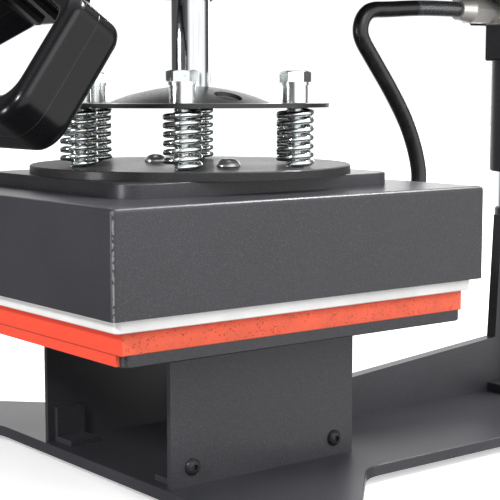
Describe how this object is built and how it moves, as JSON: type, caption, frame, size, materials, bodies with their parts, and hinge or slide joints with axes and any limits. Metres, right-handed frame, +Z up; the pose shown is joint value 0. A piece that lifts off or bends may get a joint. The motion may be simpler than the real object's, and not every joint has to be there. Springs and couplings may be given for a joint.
{
  "type": "rotary heat press",
  "caption": "Swing-away heat press with a sheet-metal heated platen on sprung bolts, a red pad on a pedestal, a braided cable, a cam lever with a framed grip and a control box.",
  "frame": {"origin": "centre of the footprint at the bottom of the rubber feet", "axes": "+Z up, the operator stands on the -Y side, X is the width"},
  "size_m": [0.52, 0.6402, 0.54],
  "materials": {
    "black_coat": "fine-textured satin black powder coat",
    "black_gloss_coat": "gloss black stove enamel",
    "zinc": "bright bluish zinc plating",
    "chrome": "polished hard chrome",
    "steel": "turned bare steel",
    "aluminium": "machined pale aluminium",
    "silicone": "matt orange-red silicone sponge",
    "feet": "matt black rubber",
    "grip": "glossy black moulded plastic",
    "wool": "pale mineral fibre board",
    "element": "heat-tinted steel tube",
    "braid": "black braided sleeve",
    "brass": "nickel-plated brass",
    "bronze": "sintered bronze",
    "box_plastic": "fine-textured black plastic",
    "screen": "smoked display window",
    "button_plastic": "grey button caps",
    "switch_plastic": "red rocker"
  },
  "bodies": {
    "base": {"rubber_feet": "feet", "base_plate": "black_coat", "pedestal": "black_coat", "pedestal_lugs": "black_coat", "pedestal_screws": "black_coat", "lower_platen": "black_coat", "silicone_pad": "silicone", "gusset_plate": "black_coat", "column_socket": "black_coat", "column_flange": "black_coat", "column_bolts": "zinc", "column_post": "chrome"},
    "head": {"swivel_tube": "black_coat", "swivel_bushes": "bronze", "thrust_washer": "steel", "swivel_block": "black_coat", "arm_cheek_left": "black_coat", "arm_cheek_right": "black_coat", "arm_bottom_plate": "black_coat", "arm_top_plate": "black_coat", "arm_spacers": "steel", "arm_bolts": "zinc", "guide_housing": "black_coat", "guide_bush": "bronze", "cam_axle": "steel", "return_spring": "zinc", "gland_plate": "black_coat", "gland_body": "brass", "gland_nut": "brass", "cable_sleeve": "braid", "control_box": "box_plastic", "control_panel": "box_plastic", "display": "screen", "mains_inlet": "box_plastic"},
    "set_key": {"button_set": "button_plastic"},
    "up_key": {"button_up": "button_plastic"},
    "down_key": {"button_down": "button_plastic"},
    "rocker": {"power_switch": "switch_plastic"},
    "lever": {"cam": "steel", "lever_bars": "black_gloss_coat", "grip_front": "grip", "grip_rear": "grip", "grip_screws": "steel"},
    "platen": {"cover": "black_coat", "insulation": "wool", "heating_element": "element", "heat_plate": "aluminium", "tier_plate": "black_coat", "spring_disc": "black_gloss_coat", "disc_screws": "steel", "press_bolts": "zinc", "bolt_sleeves": "zinc", "press_springs": "zinc", "cover_gland": "box_plastic"},
    "press": {"press_shaft": "chrome", "flange": "black_gloss_coat", "roller_fork": "steel", "roller_pin": "steel"},
    "roller": {"roller": "steel"},
    "nut": {"pressure_nut": "zinc"}
  },
  "joints": [
    {"name": "head_swing", "type": "hinge", "parent": "base", "child": "head", "pos_m": [0, 0.25, 0.3036], "axis": [0, 0, 1], "range_deg": [-95, 95]},
    {"name": "lever", "type": "hinge", "parent": "head", "child": "lever", "pos_m": [0, -0.12, 0.505], "axis": [-1, 0, 0], "range_deg": [0, 80]},
    {"name": "platen_lift", "type": "slide", "parent": "head", "child": "platen", "axis": [0, 0, 1], "range_m": [0, 0.03], "deforming": ["return_spring"]},
    {"name": "spring_travel", "type": "slide", "parent": "platen", "child": "press", "axis": [0, 0, -1], "range_m": [0, 0.006], "stiffness_N_per_m": 60000, "springref_m": -0.001, "deforming": ["press_springs", "return_spring"]},
    {"name": "cam_roller", "type": "hinge", "parent": "press", "child": "roller", "pos_m": [0, -0.12, 0.4327], "axis": [1, 0, 0], "continuous": true},
    {"name": "pressure_adjust", "type": "hinge", "parent": "press", "child": "nut", "pos_m": [0, -0.12, 0.402], "axis": [0, 0, 1], "continuous": true},
    {"name": "set_press", "type": "slide", "parent": "head", "child": "set_key", "axis": [0, 1, 0], "range_m": [0, 0.001], "stiffness_N_per_m": 800},
    {"name": "up_press", "type": "slide", "parent": "head", "child": "up_key", "axis": [0, 1, 0], "range_m": [0, 0.001], "stiffness_N_per_m": 800},
    {"name": "down_press", "type": "slide", "parent": "head", "child": "down_key", "axis": [0, 1, 0], "range_m": [0, 0.001], "stiffness_N_per_m": 800},
    {"name": "power_rocker", "type": "hinge", "parent": "head", "child": "rocker", "pos_m": [0.035, 0.2985, 0.456], "axis": [1, 0, 0], "range_deg": [-8, 8]}
  ],
  "couplings": [
    {"joint": "platen_lift", "follows": "lever", "m_per_rad": 0.021486}
  ]
}
